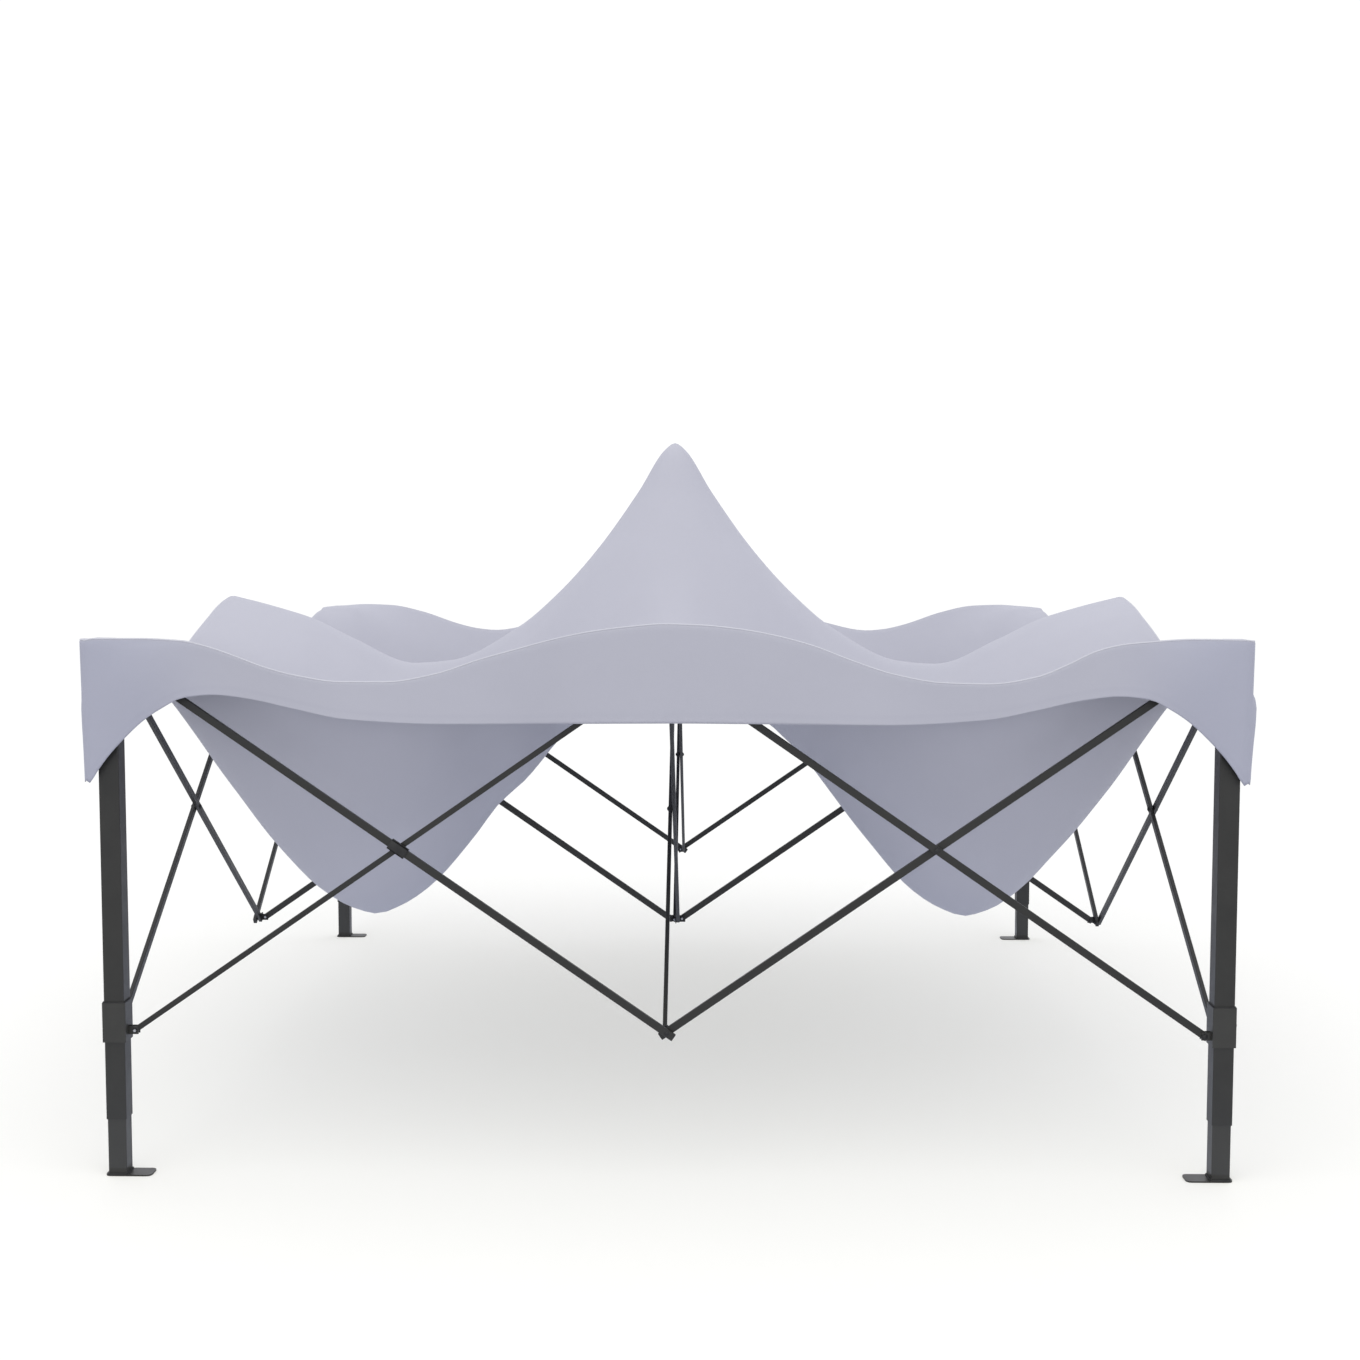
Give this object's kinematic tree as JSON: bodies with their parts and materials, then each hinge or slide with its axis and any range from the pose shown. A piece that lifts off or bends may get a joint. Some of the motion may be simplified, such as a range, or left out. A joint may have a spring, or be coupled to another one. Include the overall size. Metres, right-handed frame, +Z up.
{
  "type": "pop-up party tent",
  "caption": "Square pop-up party tent: scissor frame on telescopic square legs under a loose, peaked fabric canopy that sags in each quarter.",
  "frame": {"origin": "on the ground under the middle of the tent, the bottom centre of its box", "axes": "+Z up; -Y is the side that faces the viewer in the picture; +X to the viewer's right"},
  "size_m": [3.156, 3.156, 2.111],
  "materials": {
    "frame_paint": "satin dark grey powder coat",
    "joint_plastic": "moulded, matte",
    "canopy_fabric": "coated polyester, pale lavender grey"
  },
  "bodies": {
    "root": {"canopy": "canopy_fabric", "centre_mast": "frame_paint", "mast_cap": "joint_plastic", "centre_top_hub": "joint_plastic"},
    "inner_front_bar_down": {"inner_front_bar_down": "frame_paint"},
    "inner_front_bar_up": {"inner_front_bar_up": "frame_paint"},
    "front_top_joint": {"front_top_joint": "joint_plastic"},
    "front_bottom_joint": {"front_bottom_joint": "joint_plastic"},
    "centre_bottom_hub": {"centre_bottom_hub": "joint_plastic"},
    "inner_right_bar_down": {"inner_right_bar_down": "frame_paint"},
    "inner_right_bar_up": {"inner_right_bar_up": "frame_paint"},
    "right_top_joint": {"right_top_joint": "joint_plastic"},
    "right_bottom_joint": {"right_bottom_joint": "joint_plastic"},
    "inner_back_bar_down": {"inner_back_bar_down": "frame_paint"},
    "inner_back_bar_up": {"inner_back_bar_up": "frame_paint"},
    "back_top_joint": {"back_top_joint": "joint_plastic"},
    "back_bottom_joint": {"back_bottom_joint": "joint_plastic"},
    "inner_left_bar_down": {"inner_left_bar_down": "frame_paint"},
    "inner_left_bar_up": {"inner_left_bar_up": "frame_paint"},
    "left_top_joint": {"left_top_joint": "joint_plastic"},
    "left_bottom_joint": {"left_bottom_joint": "joint_plastic"},
    "front_truss_front_right_bar_down": {"front_truss_front_right_bar_down": "frame_paint"},
    "front_truss_front_right_bar_up": {"front_truss_front_right_bar_up": "frame_paint"},
    "leg_front_right": {"outer_leg_front_right": "frame_paint", "leg_cap_front_right": "joint_plastic"},
    "slider_front_right": {"slider_front_right": "frame_paint"},
    "inner_leg_front_right": {"inner_leg_front_right": "frame_paint"},
    "front_truss_front_left_bar_down": {"front_truss_front_left_bar_down": "frame_paint"},
    "front_truss_front_left_bar_up": {"front_truss_front_left_bar_up": "frame_paint"},
    "leg_front_left": {"outer_leg_front_left": "frame_paint", "leg_cap_front_left": "joint_plastic"},
    "slider_front_left": {"slider_front_left": "frame_paint"},
    "inner_leg_front_left": {"inner_leg_front_left": "frame_paint"},
    "right_truss_back_right_bar_down": {"right_truss_back_right_bar_down": "frame_paint"},
    "right_truss_back_right_bar_up": {"right_truss_back_right_bar_up": "frame_paint"},
    "right_truss_front_right_bar_down": {"right_truss_front_right_bar_down": "frame_paint"},
    "right_truss_front_right_bar_up": {"right_truss_front_right_bar_up": "frame_paint"},
    "back_truss_back_left_bar_down": {"back_truss_back_left_bar_down": "frame_paint"},
    "back_truss_back_left_bar_up": {"back_truss_back_left_bar_up": "frame_paint"},
    "leg_back_left": {"outer_leg_back_left": "frame_paint", "leg_cap_back_left": "joint_plastic"},
    "slider_back_left": {"slider_back_left": "frame_paint"},
    "inner_leg_back_left": {"inner_leg_back_left": "frame_paint"},
    "back_truss_back_right_bar_down": {"back_truss_back_right_bar_down": "frame_paint"},
    "back_truss_back_right_bar_up": {"back_truss_back_right_bar_up": "frame_paint"},
    "leg_back_right": {"outer_leg_back_right": "frame_paint", "leg_cap_back_right": "joint_plastic"},
    "slider_back_right": {"slider_back_right": "frame_paint"},
    "inner_leg_back_right": {"inner_leg_back_right": "frame_paint"},
    "left_truss_front_left_bar_down": {"left_truss_front_left_bar_down": "frame_paint"},
    "left_truss_front_left_bar_up": {"left_truss_front_left_bar_up": "frame_paint"},
    "left_truss_back_left_bar_down": {"left_truss_back_left_bar_down": "frame_paint"},
    "left_truss_back_left_bar_up": {"left_truss_back_left_bar_up": "frame_paint"}
  },
  "joints": [
    {"name": "fold", "type": "hinge", "parent": "root", "child": "inner_front_bar_down", "pos_m": [0, -0.02, 1.424], "axis": [1, 0, 0], "range_deg": [0, 8], "deforming": ["canopy"]},
    {"name": "inner_front_bar_up_pivot", "type": "hinge", "parent": "inner_front_bar_down", "child": "inner_front_bar_up", "pos_m": [0, -0.7555, 0.914], "axis": [1, 0, 0], "range_deg": [-16, 0]},
    {"name": "front_top_joint_pivot", "type": "hinge", "parent": "inner_front_bar_up", "child": "front_top_joint", "pos_m": [0, -1.491, 1.424], "axis": [1, 0, 0], "range_deg": [0, 8]},
    {"name": "front_bottom_joint_pivot", "type": "hinge", "parent": "inner_front_bar_down", "child": "front_bottom_joint", "pos_m": [0, -1.491, 0.404], "axis": [1, 0, 0], "range_deg": [-8, 0]},
    {"name": "centre_bottom_hub_pivot", "type": "hinge", "parent": "inner_front_bar_up", "child": "centre_bottom_hub", "pos_m": [0, -0.02, 0.404], "axis": [1, 0, 0], "range_deg": [0, 8]},
    {"name": "inner_right_bar_down_pivot", "type": "hinge", "parent": "root", "child": "inner_right_bar_down", "pos_m": [0.02, 0, 1.424], "axis": [0, 1, 0], "range_deg": [0, 8]},
    {"name": "inner_right_bar_up_pivot", "type": "hinge", "parent": "inner_right_bar_down", "child": "inner_right_bar_up", "pos_m": [0.7555, 0, 0.914], "axis": [0, 1, 0], "range_deg": [-16, 0]},
    {"name": "right_top_joint_pivot", "type": "hinge", "parent": "inner_right_bar_up", "child": "right_top_joint", "pos_m": [1.491, 0, 1.424], "axis": [0, 1, 0], "range_deg": [0, 8]},
    {"name": "right_bottom_joint_pivot", "type": "hinge", "parent": "inner_right_bar_down", "child": "right_bottom_joint", "pos_m": [1.491, 0, 0.404], "axis": [0, 1, 0], "range_deg": [-8, 0]},
    {"name": "inner_back_bar_down_pivot", "type": "hinge", "parent": "root", "child": "inner_back_bar_down", "pos_m": [0, 0.02, 1.424], "axis": [-1, 0, 0], "range_deg": [0, 8]},
    {"name": "inner_back_bar_up_pivot", "type": "hinge", "parent": "inner_back_bar_down", "child": "inner_back_bar_up", "pos_m": [0, 0.7555, 0.914], "axis": [-1, 0, 0], "range_deg": [-16, 0]},
    {"name": "back_top_joint_pivot", "type": "hinge", "parent": "inner_back_bar_up", "child": "back_top_joint", "pos_m": [0, 1.491, 1.424], "axis": [-1, 0, 0], "range_deg": [0, 8]},
    {"name": "back_bottom_joint_pivot", "type": "hinge", "parent": "inner_back_bar_down", "child": "back_bottom_joint", "pos_m": [0, 1.491, 0.404], "axis": [-1, 0, 0], "range_deg": [-8, 0]},
    {"name": "inner_left_bar_down_pivot", "type": "hinge", "parent": "root", "child": "inner_left_bar_down", "pos_m": [-0.02, 0, 1.424], "axis": [0, -1, 0], "range_deg": [0, 8]},
    {"name": "inner_left_bar_up_pivot", "type": "hinge", "parent": "inner_left_bar_down", "child": "inner_left_bar_up", "pos_m": [-0.7555, 0, 0.914], "axis": [0, -1, 0], "range_deg": [-16, 0]},
    {"name": "left_top_joint_pivot", "type": "hinge", "parent": "inner_left_bar_up", "child": "left_top_joint", "pos_m": [-1.491, 0, 1.424], "axis": [0, -1, 0], "range_deg": [0, 8]},
    {"name": "left_bottom_joint_pivot", "type": "hinge", "parent": "inner_left_bar_down", "child": "left_bottom_joint", "pos_m": [-1.491, 0, 0.404], "axis": [0, -1, 0], "range_deg": [-8, 0]},
    {"name": "front_truss_front_right_bar_down_pivot", "type": "hinge", "parent": "front_top_joint", "child": "front_truss_front_right_bar_down", "pos_m": [0, -1.52, 1.424], "axis": [0, 1, 0], "range_deg": [0, 8]},
    {"name": "front_truss_front_right_bar_up_pivot", "type": "hinge", "parent": "front_truss_front_right_bar_down", "child": "front_truss_front_right_bar_up", "pos_m": [0.7355, -1.52, 0.914], "axis": [0, 1, 0], "range_deg": [-16, 0]},
    {"name": "leg_front_right_pivot", "type": "hinge", "parent": "front_truss_front_right_bar_up", "child": "leg_front_right", "pos_m": [1.471, -1.52, 1.424], "axis": [0, 1, 0], "range_deg": [0, 8]},
    {"name": "slider_front_right_pivot", "type": "hinge", "parent": "front_truss_front_right_bar_down", "child": "slider_front_right", "pos_m": [1.471, -1.52, 0.404], "axis": [0, 1, 0], "range_deg": [-8, 0]},
    {"name": "front_truss_front_left_bar_down_pivot", "type": "hinge", "parent": "front_top_joint", "child": "front_truss_front_left_bar_down", "pos_m": [0, -1.52, 1.424], "axis": [0, -1, 0], "range_deg": [0, 8]},
    {"name": "front_truss_front_left_bar_up_pivot", "type": "hinge", "parent": "front_truss_front_left_bar_down", "child": "front_truss_front_left_bar_up", "pos_m": [-0.7355, -1.52, 0.914], "axis": [0, -1, 0], "range_deg": [-16, 0]},
    {"name": "leg_front_left_pivot", "type": "hinge", "parent": "front_truss_front_left_bar_up", "child": "leg_front_left", "pos_m": [-1.471, -1.52, 1.424], "axis": [0, -1, 0], "range_deg": [0, 8]},
    {"name": "slider_front_left_pivot", "type": "hinge", "parent": "front_truss_front_left_bar_down", "child": "slider_front_left", "pos_m": [-1.471, -1.52, 0.404], "axis": [0, -1, 0], "range_deg": [-8, 0]},
    {"name": "right_truss_back_right_bar_down_pivot", "type": "hinge", "parent": "right_top_joint", "child": "right_truss_back_right_bar_down", "pos_m": [1.52, 0, 1.424], "axis": [-1, 0, 0], "range_deg": [0, 8]},
    {"name": "right_truss_back_right_bar_up_pivot", "type": "hinge", "parent": "right_truss_back_right_bar_down", "child": "right_truss_back_right_bar_up", "pos_m": [1.52, 0.7355, 0.914], "axis": [-1, 0, 0], "range_deg": [-16, 0]},
    {"name": "right_truss_front_right_bar_down_pivot", "type": "hinge", "parent": "right_top_joint", "child": "right_truss_front_right_bar_down", "pos_m": [1.52, 0, 1.424], "axis": [1, 0, 0], "range_deg": [0, 8]},
    {"name": "right_truss_front_right_bar_up_pivot", "type": "hinge", "parent": "right_truss_front_right_bar_down", "child": "right_truss_front_right_bar_up", "pos_m": [1.52, -0.7355, 0.914], "axis": [1, 0, 0], "range_deg": [-16, 0]},
    {"name": "back_truss_back_left_bar_down_pivot", "type": "hinge", "parent": "back_top_joint", "child": "back_truss_back_left_bar_down", "pos_m": [0, 1.52, 1.424], "axis": [0, -1, 0], "range_deg": [0, 8]},
    {"name": "back_truss_back_left_bar_up_pivot", "type": "hinge", "parent": "back_truss_back_left_bar_down", "child": "back_truss_back_left_bar_up", "pos_m": [-0.7355, 1.52, 0.914], "axis": [0, -1, 0], "range_deg": [-16, 0]},
    {"name": "leg_back_left_pivot", "type": "hinge", "parent": "back_truss_back_left_bar_up", "child": "leg_back_left", "pos_m": [-1.471, 1.52, 1.424], "axis": [0, -1, 0], "range_deg": [0, 8]},
    {"name": "slider_back_left_pivot", "type": "hinge", "parent": "back_truss_back_left_bar_down", "child": "slider_back_left", "pos_m": [-1.471, 1.52, 0.404], "axis": [0, -1, 0], "range_deg": [-8, 0]},
    {"name": "back_truss_back_right_bar_down_pivot", "type": "hinge", "parent": "back_top_joint", "child": "back_truss_back_right_bar_down", "pos_m": [0, 1.52, 1.424], "axis": [0, 1, 0], "range_deg": [0, 8]},
    {"name": "back_truss_back_right_bar_up_pivot", "type": "hinge", "parent": "back_truss_back_right_bar_down", "child": "back_truss_back_right_bar_up", "pos_m": [0.7355, 1.52, 0.914], "axis": [0, 1, 0], "range_deg": [-16, 0]},
    {"name": "leg_back_right_pivot", "type": "hinge", "parent": "back_truss_back_right_bar_up", "child": "leg_back_right", "pos_m": [1.471, 1.52, 1.424], "axis": [0, 1, 0], "range_deg": [0, 8]},
    {"name": "slider_back_right_pivot", "type": "hinge", "parent": "back_truss_back_right_bar_down", "child": "slider_back_right", "pos_m": [1.471, 1.52, 0.404], "axis": [0, 1, 0], "range_deg": [-8, 0]},
    {"name": "left_truss_front_left_bar_down_pivot", "type": "hinge", "parent": "left_top_joint", "child": "left_truss_front_left_bar_down", "pos_m": [-1.52, 0, 1.424], "axis": [1, 0, 0], "range_deg": [0, 8]},
    {"name": "left_truss_front_left_bar_up_pivot", "type": "hinge", "parent": "left_truss_front_left_bar_down", "child": "left_truss_front_left_bar_up", "pos_m": [-1.52, -0.7355, 0.914], "axis": [1, 0, 0], "range_deg": [-16, 0]},
    {"name": "left_truss_back_left_bar_down_pivot", "type": "hinge", "parent": "left_top_joint", "child": "left_truss_back_left_bar_down", "pos_m": [-1.52, 0, 1.424], "axis": [-1, 0, 0], "range_deg": [0, 8]},
    {"name": "left_truss_back_left_bar_up_pivot", "type": "hinge", "parent": "left_truss_back_left_bar_down", "child": "left_truss_back_left_bar_up", "pos_m": [-1.52, 0.7355, 0.914], "axis": [-1, 0, 0], "range_deg": [-16, 0]},
    {"name": "extend_leg_front_left", "type": "slide", "parent": "leg_front_left", "child": "inner_leg_front_left", "axis": [0, 0, -1], "range_m": [0, 0.6]},
    {"name": "extend_leg_front_right", "type": "slide", "parent": "leg_front_right", "child": "inner_leg_front_right", "axis": [0, 0, -1], "range_m": [0, 0.6]},
    {"name": "extend_leg_back_right", "type": "slide", "parent": "leg_back_right", "child": "inner_leg_back_right", "axis": [0, 0, -1], "range_m": [0, 0.6]},
    {"name": "extend_leg_back_left", "type": "slide", "parent": "leg_back_left", "child": "inner_leg_back_left", "axis": [0, 0, -1], "range_m": [0, 0.6]}
  ],
  "couplings": [
    {"joint": "inner_front_bar_up_pivot", "follows": "fold", "ratio": -2},
    {"joint": "front_top_joint_pivot", "follows": "fold", "ratio": 1},
    {"joint": "front_bottom_joint_pivot", "follows": "fold", "ratio": -1},
    {"joint": "centre_bottom_hub_pivot", "follows": "fold", "ratio": 1},
    {"joint": "inner_right_bar_down_pivot", "follows": "fold", "ratio": 1},
    {"joint": "inner_right_bar_up_pivot", "follows": "fold", "ratio": -2},
    {"joint": "right_top_joint_pivot", "follows": "fold", "ratio": 1},
    {"joint": "right_bottom_joint_pivot", "follows": "fold", "ratio": -1},
    {"joint": "inner_back_bar_down_pivot", "follows": "fold", "ratio": 1},
    {"joint": "inner_back_bar_up_pivot", "follows": "fold", "ratio": -2},
    {"joint": "back_top_joint_pivot", "follows": "fold", "ratio": 1},
    {"joint": "back_bottom_joint_pivot", "follows": "fold", "ratio": -1},
    {"joint": "inner_left_bar_down_pivot", "follows": "fold", "ratio": 1},
    {"joint": "inner_left_bar_up_pivot", "follows": "fold", "ratio": -2},
    {"joint": "left_top_joint_pivot", "follows": "fold", "ratio": 1},
    {"joint": "left_bottom_joint_pivot", "follows": "fold", "ratio": -1},
    {"joint": "front_truss_front_right_bar_down_pivot", "follows": "fold", "ratio": 1},
    {"joint": "front_truss_front_right_bar_up_pivot", "follows": "fold", "ratio": -2},
    {"joint": "leg_front_right_pivot", "follows": "fold", "ratio": 1},
    {"joint": "slider_front_right_pivot", "follows": "fold", "ratio": -1},
    {"joint": "front_truss_front_left_bar_down_pivot", "follows": "fold", "ratio": 1},
    {"joint": "front_truss_front_left_bar_up_pivot", "follows": "fold", "ratio": -2},
    {"joint": "leg_front_left_pivot", "follows": "fold", "ratio": 1},
    {"joint": "slider_front_left_pivot", "follows": "fold", "ratio": -1},
    {"joint": "right_truss_back_right_bar_down_pivot", "follows": "fold", "ratio": 1},
    {"joint": "right_truss_back_right_bar_up_pivot", "follows": "fold", "ratio": -2},
    {"joint": "right_truss_front_right_bar_down_pivot", "follows": "fold", "ratio": 1},
    {"joint": "right_truss_front_right_bar_up_pivot", "follows": "fold", "ratio": -2},
    {"joint": "back_truss_back_left_bar_down_pivot", "follows": "fold", "ratio": 1},
    {"joint": "back_truss_back_left_bar_up_pivot", "follows": "fold", "ratio": -2},
    {"joint": "leg_back_left_pivot", "follows": "fold", "ratio": 1},
    {"joint": "slider_back_left_pivot", "follows": "fold", "ratio": -1},
    {"joint": "back_truss_back_right_bar_down_pivot", "follows": "fold", "ratio": 1},
    {"joint": "back_truss_back_right_bar_up_pivot", "follows": "fold", "ratio": -2},
    {"joint": "leg_back_right_pivot", "follows": "fold", "ratio": 1},
    {"joint": "slider_back_right_pivot", "follows": "fold", "ratio": -1},
    {"joint": "left_truss_front_left_bar_down_pivot", "follows": "fold", "ratio": 1},
    {"joint": "left_truss_front_left_bar_up_pivot", "follows": "fold", "ratio": -2},
    {"joint": "left_truss_back_left_bar_down_pivot", "follows": "fold", "ratio": 1},
    {"joint": "left_truss_back_left_bar_up_pivot", "follows": "fold", "ratio": -2}
  ]
}
